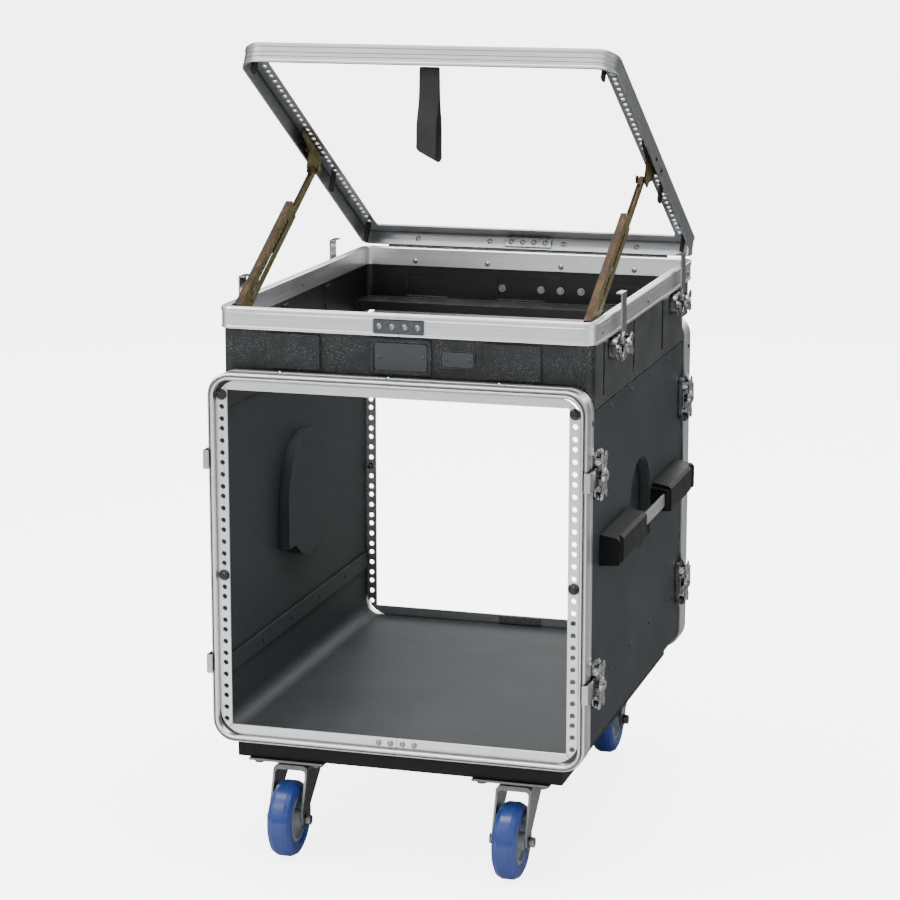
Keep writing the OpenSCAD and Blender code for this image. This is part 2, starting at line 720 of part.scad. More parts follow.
module caster_plates() color("#c4c8ca") for (x = [-1, 1], y = [-1, 1]) at_caster(x, y) {
  translate([0, 0, board_bottom - plate_t - 0.1]) difference() {
    translate([-plate_half[0], -plate_half[1], 0])
      cube([2 * plate_half[0], 2 * plate_half[1], plate_t]);
    for (p = [-1, 1], q = [-1, 1])
      translate([p * plate_bolts[0], q * plate_bolts[1], -1]) cylinder(d = 8.4, h = 10);
  }
  translate([0, 0, board_bottom - plate_t - 4]) cylinder(r1 = race_r - 3, r2 = race_r, h = 4);
  for (p = [-1, 1], q = [-1, 1])
    translate([p * plate_bolts[0], q * plate_bolts[1], 0]) {
      translate([0, 0, board_bottom - plate_t - 0.2 - 4.5]) cylinder(r = 7, h = 4.5, $fn = 6);
      translate([0, 0, board_bottom - plate_t - 1]) cylinder(d = 7.8, h = board_t + plate_t);
    }
}

// Outline of a fork leg, seen from the side, with the swivel axis at zero
axle_drop = crown_top - wheel_d / 2;
leg_outline = [
  [-27, 0], [27, 0], [29, -9], [27, -18], [13 - trail, 10 - axle_drop],
  [12 - trail, -4 - axle_drop], [6 - trail, -11 - axle_drop],
  [-6 - trail, -11 - axle_drop], [-12 - trail, -4 - axle_drop],
  [-13 - trail, 11 - axle_drop], [-31, -14]
];

module caster_fork(x, y) color("#c4c8ca") at_caster(x, y) {
  bridge_t = 6;
  half = leg_in + leg_t;
  axle_z = wheel_d / 2;
  difference() {
    intersection() {
      translate([0, 60, crown_top]) rotate([90, 0, 0]) linear_extrude(160) difference() {
        translate([0, -100]) rounded(2 * half, 200, 7);
        translate([0, -100 - bridge_t]) rounded(2 * leg_in, 200, 5);
      }
      translate([0, 0, crown_top]) rotate([90, 0, 90])
        linear_extrude(200, center = true) polygon(leg_outline);
    }
    translate([0, -trail, axle_z]) rotate([0, 90, 0])
      cylinder(d = axle_d + 0.2, h = 100, center = true);
  }
  translate([0, 0, crown_top - 0.5]) cylinder(r = race_r - 3, h = race_h - 4);
  translate([-half - 0.2, -trail, axle_z]) rotate([0, 90, 0])
    cylinder(d = axle_d, h = 2 * half + 8);
  translate([-half - 5.2, -trail, axle_z]) rotate([0, 90, 0])
    cylinder(r = 7.2, h = 5.1, $fn = 6);
  translate([half + 0.2, -trail, axle_z]) rotate([0, 90, 0])
    cylinder(r = 7.2, h = 7, $fn = 6);
}

module caster_fork_fl() caster_fork(-1, -1);
module caster_fork_fr() caster_fork(1, -1);
module caster_fork_rl() caster_fork(-1, 1);
module caster_fork_rr() caster_fork(1, 1);

// Tyre and hub are separate solids that turn together
module caster_wheel(x, y) at_caster(x, y)
  translate([0, -trail, wheel_d / 2]) rotate([0, 90, 0]) {
    hub_r = wheel_d * 0.3;
    color("#2c4a8c") rotate_extrude($fn = 96) polygon([
      [hub_r + 0.1, -wheel_w / 2 + 3], [hub_r + 4, -wheel_w / 2], [wheel_d / 2 - 9, -wheel_w / 2],
      [wheel_d / 2 - 3, -wheel_w / 2 + 3], [wheel_d / 2, -wheel_w / 2 + 9],
      [wheel_d / 2, wheel_w / 2 - 9], [wheel_d / 2 - 3, wheel_w / 2 - 3],
      [wheel_d / 2 - 9, wheel_w / 2], [hub_r + 4, wheel_w / 2], [hub_r + 0.1, wheel_w / 2 - 3]]);
    color("#6b7072") rotate_extrude($fn = 96) polygon([
      [axle_d / 2 + 0.1, -leg_in + 0.6], [axle_d + 4, -leg_in + 0.6], [axle_d + 5, -9],
      [hub_r - 5, -9], [hub_r - 4, -wheel_w / 2 + 2], [hub_r, -wheel_w / 2 + 3],
      [hub_r, wheel_w / 2 - 3], [hub_r - 4, wheel_w / 2 - 2], [hub_r - 5, 9],
      [axle_d + 5, 9], [axle_d + 4, leg_in - 0.6], [axle_d / 2 + 0.1, leg_in - 0.6]]);
  }

module caster_wheel_fl() caster_wheel(-1, -1);
module caster_wheel_fr() caster_wheel(1, -1);
module caster_wheel_rl() caster_wheel(-1, 1);
module caster_wheel_rr() caster_wheel(1, 1);

// ---- latches ----

// Turns a latch drawn with its hook towards -Y to its place; the kind is
// "front", "rear" or "top", and side is -1 for the left
module at_latch(kind, side, y, z) {
  mirror([side < 0 ? 1 : 0, 0, 0])
    translate([base_x + (kind == "top" ? top_stand : 0), y, z])
    rotate([kind == "top" ? -90 : 0, 0, 0])
      mirror([0, kind == "rear" ? 1 : 0, 0]) children();
}

// All twelve places: [kind, side, y, z]
latch_places = [
  for (side = [-1, 1], z = latch_zs) ["front", side, front_y + latch_in, z],
  for (side = [-1, 1], z = latch_zs) ["rear", side, rear_y - latch_in, z],
  for (side = [-1, 1], y = top_latch_ys) ["top", side, y, top_latch_z]
];

// Base plate on its foot, round cup, post and two domed ears; stand is the
// extra height of the foot
module latch_base(stand) {
  translate([-5.2 - stand, 0, 0]) rotate([90, 0, 90])
    linear_extrude(6.4 + stand) rounded(base_w, base_l - 6, 10);
  translate([-5.2 - stand, 0, 0]) rotate([0, 90, 0]) cylinder(r = 14.5, h = 3.4 + stand);
  rotate([0, 90, 0]) cylinder(r = post_r, h = post_h);
  for (s = [-1, 1]) translate([1, 0, s * (base_l / 2 - 6)]) rotate([0, 90, 0]) {
    cylinder(r = 6.5, h = 3);
    cylinder(r = 5, h = 4.2);
    translate([0, 0, 4.1]) cylinder(r1 = 6.2, r2 = 3.6, h = 2.4);
  }
  for (s = [-1, 1]) translate([1, -base_w / 2 + 1, s * (hook_w / 2 + 1.6) - 1])
    cube([4.6, base_w - 2, 2]);
}

module latch_bases() color("#c9cdcf") for (p = latch_places)
  at_latch(p[0], p[1], p[2], p[3]) latch_base(p[0] == "top" ? top_stand : 0);

// Bow-tie wing with notched ends and a domed centre; it turns about X
module wing(p) color("#d4d8da") at_latch(p[0], p[1], p[2], p[3])
  translate([wing_x - base_x, 0, 0]) {
    half = wing_l / 2;
    difference() {
      rotate([90, 0, 90]) linear_extrude(1.8) difference() {
        polygon([[-6, -3], [-15, -half + 8], [-13, -half + 1], [-8, -half],
                 [-3, -half + 6], [3, -half + 6], [8, -half], [13, -half + 1],
                 [15, -half + 8], [6, -3], [6, 3], [15, half - 8], [13, half - 1],
                 [8, half], [3, half - 6], [-3, half - 6], [-8, half],
                 [-13, half - 1], [-15, half - 8], [-6, 3]]);
        for (s = [-1, 1], y = [-6, 6]) translate([y, s * (half - 13)]) circle(2.2);
      }
    }
    rotate([0, 90, 0]) cylinder(r1 = 11, r2 = 9.5, h = 3.6);
    translate([3.5, 0, 0]) rotate([0, 90, 0]) cylinder(r1 = 8.6, r2 = 5, h = 2.6);
  }

// Flat draw hook: it slides in the base, its tip bends towards the case
module hook(p) color("#c9cdcf") at_latch(p[0], p[1], p[2], p[3])
  translate([2, 0, 0]) {
    reach = p[0] == "top" ? top_reach : frame_reach;
    tip = p[0] == "top" ? 6.4 : 6;
    difference() {
      translate([0, -reach, -hook_w / 2]) cube([2, reach + 18, hook_w]);
      translate([-1, -post_r - 0.6, -post_r - 0.6])
        cube([5, 2 * post_r + 10.8, 2 * post_r + 1.2]);
    }
    translate([-tip, -reach, -hook_w / 2]) cube([tip + 0.5, 1.8, hook_w]);
  }

module wing_fl_low() wing(latch_places[0]);
module wing_fl_high() wing(latch_places[1]);
module wing_fr_low() wing(latch_places[2]);
module wing_fr_high() wing(latch_places[3]);
module wing_rl_low() wing(latch_places[4]);
module wing_rl_high() wing(latch_places[5]);
module wing_rr_low() wing(latch_places[6]);
module wing_rr_high() wing(latch_places[7]);
module wing_top_fl() wing(latch_places[8]);
module wing_top_rl() wing(latch_places[9]);
module wing_top_fr() wing(latch_places[10]);
module wing_top_rr() wing(latch_places[11]);
module hook_fl_low() hook(latch_places[0]);
module hook_fl_high() hook(latch_places[1]);
module hook_fr_low() hook(latch_places[2]);
module hook_fr_high() hook(latch_places[3]);
module hook_rl_low() hook(latch_places[4]);
module hook_rl_high() hook(latch_places[5]);
module hook_rr_low() hook(latch_places[6]);
module hook_rr_high() hook(latch_places[7]);
module hook_top_fl() hook(latch_places[8]);
module hook_top_rl() hook(latch_places[9]);
module hook_top_fr() hook(latch_places[10]);
module hook_top_rr() hook(latch_places[11]);

// ---- side handles ----

// One moulded end; its strap slot opens towards +Y
module housing() {
  hz = handle_z;
  difference() {
    union() {
      translate([0, housing_l, 0]) rotate([90, 0, 0]) linear_extrude(housing_l)
        polygon([[housing_x, hz - 20], [housing_x + housing_out - 1, hz - 18],
                 [housing_x + housing_out, hz - 16], [housing_x + housing_out, hz + 13],
                 [housing_x + housing_out - 4, hz + 17], [housing_x, hz + 21]]);
      translate([0, housing_l + 10, 0]) rotate([90, 0, 0]) linear_extrude(11)
        polygon([[housing_x, hz - 16], [housing_x + housing_out - 3, hz - 14],
                 [housing_x + housing_out - 3, hz + 12], [housing_x, hz + 16]]);
    }
    translate([strap_x - 0.3, housing_l - 32, hz - strap_h / 2 - 0.3])
      cube([strap_t + 0.6, 60, strap_h + 0.6]);
    translate([housing_x + housing_out, 0, hz]) rotate([0, 0, 20])
      translate([0, -20, -50]) cube([20, 40, 100]);
  }
}

module handle_housings() color("#1c1e1f") both_sides() for (s = [0, 1])
  translate([0, handle_y, 0]) mirror([0, s, 0])
    translate([0, -handle_l / 2, 0]) housing();

module handle_straps() color("#b9bdbf") both_sides()
  translate([strap_x, handle_y - handle_l / 2 + housing_l - 30, handle_z - strap_h / 2])
    cube([strap_t, handle_l - 2 * housing_l + 60, strap_h]);

// ---- nodes ----

upper_shell();
side_panels();
bottom_tray();
caster_board();
front_frame();
rear_frame();
rim_frame();
joint_plates();
rivets();
rack_screws();
badge_plates();
latch_bases();
caster_plates();
handle_housings();
handle_straps();
rear_hinge_leaf();
stay_feet();
popup_frame();
popup_joint_plate();
popup_rivets();
popup_hinge_leaf();
stay_brackets();
popup_pads();
pull_strap();
stay_arm_left();
stay_arm_right();
stay_channel_left();
stay_channel_right();
caster_fork_fl();
caster_fork_fr();
caster_fork_rl();
caster_fork_rr();
caster_wheel_fl();
caster_wheel_fr();
caster_wheel_rl();
caster_wheel_rr();
wing_fl_low();
wing_fl_high();
wing_fr_low();
wing_fr_high();
wing_rl_low();
wing_rl_high();
wing_rr_low();
wing_rr_high();
wing_top_fl();
wing_top_fr();
wing_top_rl();
wing_top_rr();
hook_fl_low();
hook_fl_high();
hook_fr_low();
hook_fr_high();
hook_rl_low();
hook_rl_high();
hook_rr_low();
hook_rr_high();
hook_top_fl();
hook_top_fr();
hook_top_rl();
hook_top_rr();
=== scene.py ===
import math

import bmesh
import bpy
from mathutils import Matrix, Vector


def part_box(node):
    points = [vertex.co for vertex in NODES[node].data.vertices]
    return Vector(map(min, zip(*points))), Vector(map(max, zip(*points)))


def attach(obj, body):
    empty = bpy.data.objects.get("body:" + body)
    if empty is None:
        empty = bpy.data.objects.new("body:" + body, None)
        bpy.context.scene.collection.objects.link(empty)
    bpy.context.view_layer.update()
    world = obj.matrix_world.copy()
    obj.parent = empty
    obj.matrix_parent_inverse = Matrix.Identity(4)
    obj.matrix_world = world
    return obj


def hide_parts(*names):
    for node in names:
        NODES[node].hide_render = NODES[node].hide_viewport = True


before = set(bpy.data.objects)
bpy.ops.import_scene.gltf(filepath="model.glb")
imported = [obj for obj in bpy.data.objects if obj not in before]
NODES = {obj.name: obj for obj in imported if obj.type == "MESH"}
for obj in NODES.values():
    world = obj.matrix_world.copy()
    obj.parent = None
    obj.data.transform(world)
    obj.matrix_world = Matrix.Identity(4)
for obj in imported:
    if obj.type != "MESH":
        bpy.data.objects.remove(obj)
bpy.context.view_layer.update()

MM = 0.001
# painted shade colours: the first and third darken corners and gaps; the second is dirt on steel
CORNER_SHADE_BLACK = (0.015, 0.015, 0.017)
STEEL_GRIME = (0.2, 0.2, 0.21)
MOULDING_CORNER_SHADE = (0.002, 0.002, 0.0022)
HUB_SHARE = 0.302            # hub radius over wheel diameter
FLOOR_GLOW = 4.6             # seen by the camera only, so that the floor stays pale
BACKDROP_GLOW = 5.3
CAMERA_X, CAMERA_BACK, CAMERA_Z = 1.0258, 3.2278, 1.2806     # back from the front frame
CAMERA_AZIMUTH = 16.42       # degrees
CAMERA_ELEVATION = 12.06
CAMERA_LENS = 110.4


# ---- node materials; texture coordinates are the row frame, in metres ----

class Finish:
    """A Principled material and short calls for the nodes that feed it."""

    def __init__(self, name):
        self.material = bpy.data.materials.new(name)
        self.material.use_nodes = True
        self.tree = self.material.node_tree
        self.tree.nodes.clear()
        output = self.new("ShaderNodeOutputMaterial")
        self.bsdf = self.new("ShaderNodeBsdfPrincipled")
        self.link(self.bsdf.outputs[0], output.inputs[0])
        self.place = self.new("ShaderNodeTexCoord").outputs["Object"]

    def new(self, kind, **settings):
        node = self.tree.nodes.new(kind)
        for key, value in settings.items():
            setattr(node, key, value)
        return node

    def link(self, a, b):
        self.tree.links.new(a, b)

    def put(self, socket, value):
        if isinstance(value, bpy.types.NodeSocket):
            self.link(value, socket)
        elif isinstance(value, (tuple, list)) and len(value) == 3 and socket.type == "RGBA":
            socket.default_value = (*value, 1)
        else:
            socket.default_value = value

    def set(self, **values):
        for key, value in values.items():
            self.put(self.bsdf.inputs[key.replace("_", " ")], value)
        return self

    def scaled(self, scale):
        node = self.new("ShaderNodeMapping")
        self.link(self.place, node.inputs["Vector"])
        node.inputs["Scale"].default_value = scale
        return node.outputs[0]

    def noise(self, scale, detail=3, warp=0.0):
        size = scale if isinstance(scale, tuple) else (scale,) * 3
        node = self.new("ShaderNodeTexNoise")
        self.link(self.scaled(size), node.inputs["Vector"])
        node.inputs["Scale"].default_value = 1
        node.inputs["Detail"].default_value = detail
        node.inputs["Roughness"].default_value = 0.55
        node.inputs["Distortion"].default_value = warp
        return node.outputs["Fac"]

    def cells(self, scale):
        node = self.new("ShaderNodeTexVoronoi", feature="SMOOTH_F1")
        self.link(self.scaled((scale,) * 3), node.inputs["Vector"])
        node.inputs["Scale"].default_value = 1
        return node.outputs["Distance"]

    def ramp(self, value, *stops):
        node = self.new("ShaderNodeValToRGB")
        self.link(value, node.inputs[0])
        while len(node.color_ramp.elements) < len(stops):
            node.color_ramp.elements.new(1)
        for element, (at, colour) in zip(node.color_ramp.elements, stops):
            element.position = at
            element.color = (*colour, 1) if isinstance(colour, tuple) else (colour,) * 3 + (1,)
        return node.outputs[0]

    def mix(self, fac, a, b):
        node = self.new("ShaderNodeMix", data_type="RGBA")
        for socket, value in ((node.inputs[0], fac), (node.inputs[6], a), (node.inputs[7], b)):
            self.put(socket, value)
        return node.outputs[2]

    def math(self, operation, *values):
        node = self.new("ShaderNodeMath", operation=operation)
        for socket, value in zip(node.inputs, values):
            self.put(socket, value)
        return node.outputs[0]

    def axes(self):
        node = self.new("ShaderNodeSeparateXYZ")
        self.link(self.place, node.inputs[0])
        return node.outputs

    def facing(self):
        """The face's own normal, without bumps or rounding."""
        return self.new("ShaderNodeNewGeometry").outputs["True Normal"]

    def along(self, a, b):
        """How far one direction runs along another."""
        node = self.new("ShaderNodeVectorMath", operation="DOT_PRODUCT")
        self.link(a, node.inputs[0])
        self.link(b, node.inputs[1])
        return node.outputs["Value"]

    def edge(self, radius):
        """1 along convex edges and corners within the radius, 0 elsewhere."""
        soft = self.new("ShaderNodeBevel", samples=4)
        soft.inputs["Radius"].default_value = radius
        flat = self.new("ShaderNodeNewGeometry").outputs["Normal"]
        turned = self.math("SUBTRACT", 1.0, self.along(soft.outputs[0], flat))
        return self.ramp(turned, (0.02, 0.0), (0.2, 1.0))

    def corner_shade_mask(self, reach_mm):
        """A mask for painted shade: 0 in corners and gaps within the reach, 1 on open faces."""
        node = self.new("ShaderNodeAmbientOcclusion", samples=6)
        node.inputs["Distance"].default_value = reach_mm * MM
        return self.ramp(node.outputs["AO"], (0.45, 0.0), (0.9, 1.0))

    def relief(self, *layers, round_mm=0.5):
        """Bump layers of (height, strength, distance in mm) on rounded edges."""
        soft = self.new("ShaderNodeBevel", samples=4)
        soft.inputs["Radius"].default_value = round_mm * MM
        normal = soft.outputs[0]
        for height, strength, distance in layers:
            node = self.new("ShaderNodeBump")
            node.inputs["Strength"].default_value = strength
            node.inputs["Distance"].default_value = distance * MM
            self.link(height, node.inputs["Height"])
            self.link(normal, node.inputs["Normal"])
            normal = node.outputs[0]
        self.link(normal, self.bsdf.inputs["Normal"])
        return self


def moulded(name, dark, light, grain_mm, depth_mm, roughness, glint, shine, inward_light_shade):
    """Moulded polyethylene: pebbled outside with painted glints, painted shade in corners and painted
    light and shade on inward faces.
    """
    f = Finish(name)
    pebble = f.cells(1 / (grain_mm * MM))
    fine = f.noise(1 / (grain_mm * 0.35 * MM), detail=4)
    patches = f.noise(9, detail=4)
    scuffs = f.ramp(f.noise((35, 220, 60), detail=6, warp=0.6), (0.64, 0.0), (0.74, 1.0))
    base = f.mix(f.ramp(patches, (0.35, 0.0), (0.7, 1.0)), dark, light)
    worn = f.math("MULTIPLY", f.edge(1.6 * MM), f.ramp(f.noise(160), (0.4, 0.0), (0.62, 1.0)))
    marks = f.math("MAXIMUM", f.math("MULTIPLY", worn, 0.35), f.math("MULTIPLY", scuffs, 0.06))
    outside = f.math("GREATER_THAN", f.along(f.place, f.facing()), 0.0)
    # painted glints: sparse pale specks on outward faces that stand for highlights on the pebbles, as
    # strong as glint allows
    painted_glints = f.math("MULTIPLY", f.ramp(f.noise(1 / (1.3 * MM), detail=2), (0.58, 0.0), (0.7, 1.0)),
                  f.ramp(f.noise(26, detail=3), (0.4, 0.0), (0.6, glint)))
    # painted light and shade on inward faces: the light tone scaled by the last argument, lighter
    # where it is above 1, darker where below 1
    base = f.mix(outside, tuple(inward_light_shade * c for c in light), base)
    # painted shade: corners and gaps within 7 mm darken to near black
    base = f.mix(f.corner_shade_mask(7), MOULDING_CORNER_SHADE, base)
    # painted highlight: the glint specks are mixed in as pale grey
    base = f.mix(f.math("MULTIPLY", painted_glints, outside), base, (0.2, 0.21, 0.215))
    f.set(Base_Color=f.mix(marks, base, (0.13, 0.135, 0.14)),
          Roughness=f.math("ADD", f.math("MULTIPLY", fine, 0.16), roughness),
          Specular_IOR_Level=shine)
    return f.relief((pebble, 0.55, depth_mm), (fine, 0.4, depth_mm * 0.5), round_mm=1.2).material


def extruded(name, middle_z, tone, along_y=False):
    """Satin aluminium: die lines that follow the member, faint smudges."""
    f = Finish(name)
    x, y, z = f.axes()
    across = f.math("ABSOLUTE", x)
    other = f.math("ABSOLUTE", y if along_y else f.math("SUBTRACT", z, middle_z))
    upright = f.ramp(f.math("ADD", f.math("MULTIPLY", f.math("SUBTRACT", across, other), 60), 0.5),
                     (0.0, 0.0), (1.0, 1.0))
    fine, long = 900, 5
    sides = f.noise((fine, long, fine) if along_y else (fine, fine, long), detail=2)
    ends = f.noise((long, fine, fine), detail=2)
    lines = f.mix(upright, ends, sides)
    smudge = f.noise(22, detail=5)
    colour = f.mix(f.ramp(lines, (0.3, 0.0), (0.7, 1.0)), tuple(0.84 * c for c in tone), tone)
    colour = f.mix(f.ramp(smudge, (0.5, 0.0), (0.8, 0.35)), colour, tuple(0.7 * c for c in tone))
    # painted shade: corners and gaps within 4 mm darken to a sixth of the tone
    colour = f.mix(f.corner_shade_mask(4), tuple(0.16 * c for c in tone), colour)
    f.set(Base_Color=colour, Metallic=1.0,
          Roughness=f.math("ADD", f.math("MULTIPLY", lines, 0.16),
                           f.math("ADD", f.math("MULTIPLY", smudge, 0.12), 0.2)))
    return f.relief((lines, 0.25, 0.05), round_mm=0.6).material


def plated(name, tone, rough, speckle=0.08, round_mm=0.5, reach_mm=5):
    """Plated or bare steel with cloudy roughness, dirt in places and painted shade in corners."""
    f = Finish(name)
    cloud = f.noise(70, detail=5)
    fleck = f.noise(1400, detail=2)
    dirt = f.ramp(f.noise(240, detail=6), (0.58, 0.0), (0.72, 0.5))
    colour = f.mix(f.math("MULTIPLY", fleck, speckle * 4), tone, tuple(0.75 * c for c in tone))
    # painted shade: corners and gaps within the reach go near black; the noise patches are dirt
    colour = f.mix(f.corner_shade_mask(reach_mm), CORNER_SHADE_BLACK, f.mix(dirt, colour, STEEL_GRIME))
    f.set(Base_Color=colour, Metallic=1.0,
          Roughness=f.math("ADD", f.math("MULTIPLY", cloud, speckle * 2), rough))
    return f.relief((cloud, 0.15, 0.2), (fleck, 0.12, 0.05), round_mm=round_mm).material


def passivated(name):
    """Yellow passivated zinc: rose-brown on the web, yellow-green on the sides."""
    f = Finish(name)
    drift = f.noise((22, 34, 34), detail=4, warp=0.8)
    web = f.ramp(drift, (0.3, (0.018, 0.008, 0.004)), (0.5, (0.036, 0.019, 0.009)),
                 (0.7, (0.07, 0.042, 0.02)))
    side = f.ramp(drift, (0.3, (0.13, 0.105, 0.03)), (0.5, (0.22, 0.19, 0.07)),
                  (0.7, (0.10, 0.06, 0.03)))
    parts = f.new("ShaderNodeSeparateXYZ")
    f.link(f.facing(), parts.inputs[0])
    sideways = f.ramp(f.math("ABSOLUTE", parts.outputs[0]), (0.5, 0.0), (0.8, 1.0))
    scratch = f.ramp(f.noise((900, 60, 60), detail=3), (0.6, 0.0), (0.75, 0.3))
    f.set(Base_Color=f.mix(scratch, f.mix(sideways, web, side), (0.4, 0.37, 0.3)),
          Metallic=0.85, Roughness=f.math("ADD", f.math("MULTIPLY", drift, 0.25), 0.38))
    return f.relief((scratch, 0.2, 0.08), round_mm=0.4).material


def wheel_finish(name, axle):
    """Blue polyurethane tread; nearer the axle, a grey-green moulded hub."""
    f = Finish(name)
    _, y, z = f.axes()
    dy = f.math("SUBTRACT", y, axle[1])
    dz = f.math("SUBTRACT", z, axle[2])
    radius = f.math("SQRT", f.math("ADD", f.math("POWER", dy, 2.0), f.math("POWER", dz, 2.0)))
    hub = f.math("LESS_THAN", radius, axle[3])
    haze = f.noise(90, detail=5)
    dust = f.ramp(f.noise((260, 120, 120), detail=5), (0.55, 0.0), (0.8, 0.3))
    blue = f.mix(haze, (0.012, 0.032, 0.16), (0.02, 0.05, 0.23))
    blue = f.mix(dust, blue, (0.06, 0.08, 0.16))
    grey = f.mix(haze, (0.13, 0.15, 0.16), (0.24, 0.26, 0.27))
    f.set(Base_Color=f.mix(hub, blue, grey), Coat_Weight=0.3, Coat_Roughness=0.1,
          Roughness=f.math("ADD", f.math("MULTIPLY", haze, 0.2), 0.22))
    return f.relief((haze, 0.1, 0.4), (dust, 0.2, 0.1), round_mm=0.8).material


def coated_ply(name):
    """Dark phenolic film with a fine mesh pattern over plywood."""
    f = Finish(name)
    x, y, _ = f.axes()
    pitch = 2 * math.pi / (2.2 * MM)
    rows = f.math("SINE", f.math("MULTIPLY", f.math("ADD", x, y), pitch))
    columns = f.math("SINE", f.math("MULTIPLY", f.math("SUBTRACT", x, y), pitch))
    mesh = f.math("MULTIPLY", rows, columns)
    blotch = f.noise(14, detail=5)
    f.set(Base_Color=f.mix(blotch, (0.003, 0.003, 0.0035), (0.008, 0.008, 0.008)),
          Roughness=f.math("ADD", f.math("MULTIPLY", blotch, 0.2), 0.4), Specular_IOR_Level=0.2)
    return f.relief((mesh, 0.2, 0.15), (f.noise(300, detail=4), 0.15, 0.2), round_mm=0.8).material


def painted(name, tone, rough, worn_tone, wear=0.6):
    """Paint or oxide over steel, rubbed bright along the edges."""
    f = Finish(name)
    spots = f.noise(420, detail=5)
    rubbed = f.math("MULTIPLY", f.edge(0.5 * MM), f.ramp(spots, (0.42, 0.0), (0.6, wear)))
    f.set(Base_Color=f.mix(rubbed, f.mix(spots, tone, tuple(1.5 * c for c in tone)), worn_tone),
          Metallic=f.math("MULTIPLY", rubbed, 0.9),
          Roughness=f.math("ADD", f.math("MULTIPLY", spots, 0.2), rough))
    return f.relief((spots, 0.12, 0.1), round_mm=0.4).material


def fine_plastic(name, tone, rough):
    """Injection moulding: fine spark grain, scuffed proud edges."""
    f = Finish(name)
    grain = f.noise(1300, detail=3)
    wide = f.noise(30, detail=5)
    rubbed = f.math("MULTIPLY", f.edge(1.2 * MM), f.ramp(f.noise(130), (0.42, 0.0), (0.66, 0.4)))
    f.set(Base_Color=f.mix(rubbed, f.mix(wide, tone, tuple(1.7 * c for c in tone)),
                           (0.09, 0.09, 0.092)),
          Roughness=f.math("ADD", f.math("MULTIPLY", wide, 0.2), rough), Specular_IOR_Level=0.1)
    return f.relief((grain, 0.35, 0.12), (wide, 0.1, 0.5), round_mm=1.0).material


def woven(name, across_mm):
    """Nylon webbing: ribs along the strap and a dense cross weave."""
    f = Finish(name)
    x, _, z = f.axes()
    ribs = f.math("SINE", f.math("MULTIPLY", x, 2 * math.pi / (across_mm * MM)))
    picks = f.math("SINE", f.math("MULTIPLY", z, 2 * math.pi / (1.3 * MM)))
    lift = f.math("MULTIPLY", ribs, picks)
    weave = f.math("ADD", f.math("MULTIPLY", lift, 0.5), 0.5)
    fuzz = f.noise(2500, detail=3)
    f.set(Base_Color=f.mix(f.math("MULTIPLY", weave, 0.8), (0.006, 0.006, 0.007), (0.03, 0.03, 0.032)),
          Roughness=0.8, Sheen_Weight=0.25, Sheen_Roughness=0.4)
    return f.relief((weave, 0.7, 0.3), (fuzz, 0.3, 0.1), round_mm=0.3).material


# the last argument paints inward faces: lighter on the shell's inner walls, darker inside the turret
SHELL = moulded("pebbled_shell", (0.019, 0.0225, 0.0242), (0.027, 0.0315, 0.0336), 1.5, 0.2, 0.46,
                glint=0.1, shine=0.2, inward_light_shade=1.1)
TURRET = moulded("pebbled_turret", (0.0085, 0.0098, 0.0105), (0.014, 0.0155, 0.0165), 1.9, 0.6, 0.28,
                 glint=1.0, shine=0.4, inward_light_shade=0.3)
BRIGHT = (0.86, 0.865, 0.87)
frame_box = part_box("front_frame")
bay_middle = (frame_box[0].z + frame_box[1].z) / 2
BAY_METAL = extruded("bay_aluminium", bay_middle, BRIGHT)
RIM_METAL = extruded("rim_aluminium", 0, (0.93, 0.935, 0.94), along_y=True)
# painted shade: the pop-up frame is the same aluminium as the rim, painted at half tone for the shade
# on its inner faces
POPUP_METAL_SHADED = extruded("popup_aluminium_shaded", 0, (0.47, 0.48, 0.49), along_y=True)
CHROME = plated("latch_plate", (0.45, 0.455, 0.46), 0.1)
ZINC = plated("caster_zinc", (0.40, 0.405, 0.41), 0.2, speckle=0.1, reach_mm=8)
DARK_JOINT = plated("joint_sheet", (0.11, 0.12, 0.13), 0.34, speckle=0.12)
HINGE = plated("hinge_sheet", (0.62, 0.63, 0.64), 0.3, speckle=0.1)
STEEL = plated("strap_steel", (0.72, 0.72, 0.71), 0.27, round_mm=0.6)
BADGE = painted("plain_plate", (0.028, 0.03, 0.034), 0.3, (0.45, 0.45, 0.46))
GOLD = passivated("passivated_zinc")
RIVET = plated("rivet_steel", (0.3, 0.31, 0.32), 0.2, speckle=0.1, reach_mm=3)
BRIGHT_JOINT = plated("popup_joint_sheet", (0.45, 0.46, 0.47), 0.16, speckle=0.12)
DARK_RIVET = painted("black_rivet", (0.012, 0.013, 0.014), 0.25, (0.3, 0.3, 0.3))
# painted shade: the caster plates are the forks' zinc, painted darker for the shadow under the board
SHADED_PLATE_ZINC = plated("caster_plate_zinc_shaded", (0.17, 0.175, 0.18), 0.25, speckle=0.1, reach_mm=8)
SCREW = painted("black_screw", (0.010, 0.010, 0.011), 0.3, (0.35, 0.35, 0.35))
HANDLE = fine_plastic("handle_moulding", (0.0045, 0.005, 0.0055), 0.34)
PAD = fine_plastic("pad_rubber", (0.012, 0.012, 0.012), 0.6)
BOARD = coated_ply("phenolic_board")
WEBBING = woven("nylon_webbing", 2.4)

